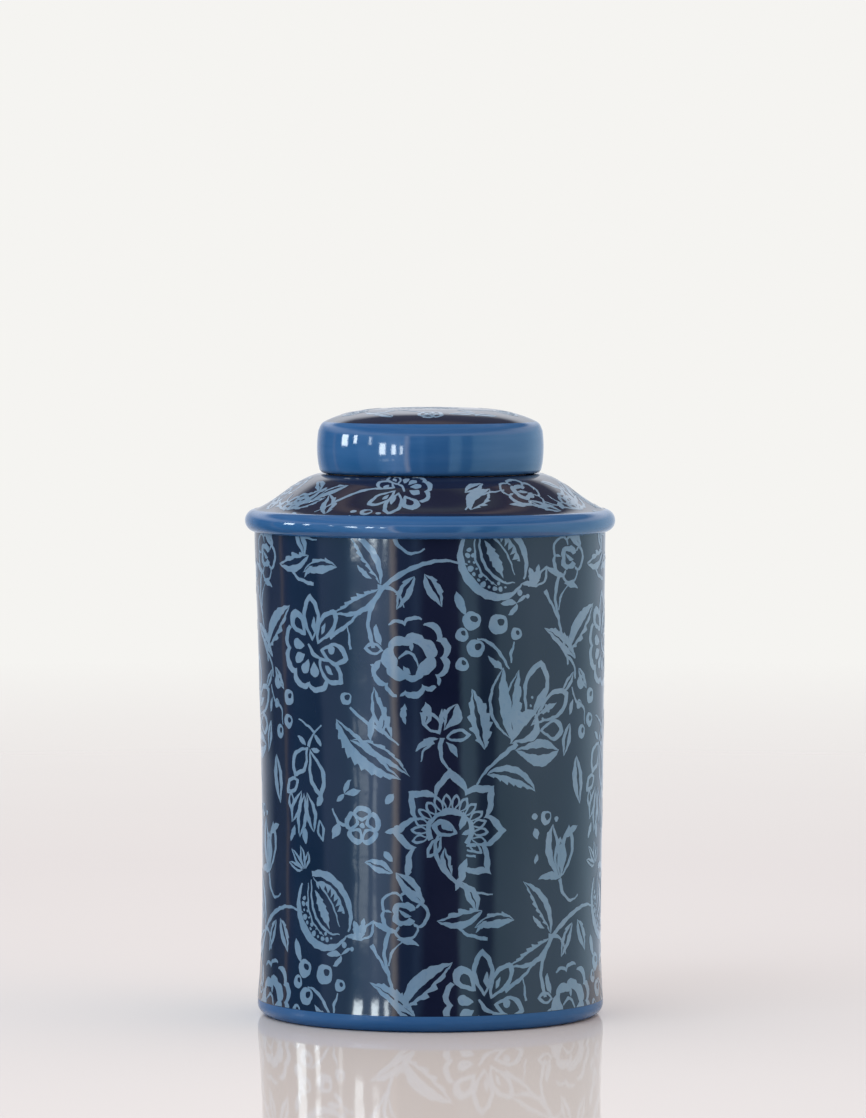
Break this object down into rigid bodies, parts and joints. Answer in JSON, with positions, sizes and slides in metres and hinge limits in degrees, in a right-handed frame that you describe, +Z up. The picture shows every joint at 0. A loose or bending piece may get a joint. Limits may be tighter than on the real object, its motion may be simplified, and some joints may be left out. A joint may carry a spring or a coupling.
{
  "type": "lidded ceramic jar",
  "caption": "Tall cylindrical glazed ceramic tea jar with a rolled shoulder bead, a rounded foot and a flat cap lid that lifts off the neck.",
  "frame": {"origin": "centre of the foot, on the surface the jar stands on", "axes": "+Z up along the jar's axis, through the middle of the lid; +X and +Y are alike, because the jar is round"},
  "size_m": [0.2032, 0.2032, 0.3331],
  "materials": {
    "navy_glaze": "deep navy glossy glaze",
    "blue_glaze": "mid-blue glossy glaze",
    "inner_glaze": "clear glaze over a pale body",
    "bare_clay": "unglazed, fine and matt"
  },
  "bodies": {
    "jar": {"wall": "navy_glaze", "floor": "inner_glaze", "foot_ring": "blue_glaze", "shoulder": "navy_glaze", "shoulder_bead": "blue_glaze", "neck": "bare_clay"},
    "lid": {"lid_side": "blue_glaze", "lid_top": "navy_glaze"}
  },
  "joints": [
    {"name": "lid_lift", "type": "slide", "parent": "jar", "child": "lid", "axis": [0, 0, 1], "range_m": [0, 0.08]}
  ]
}
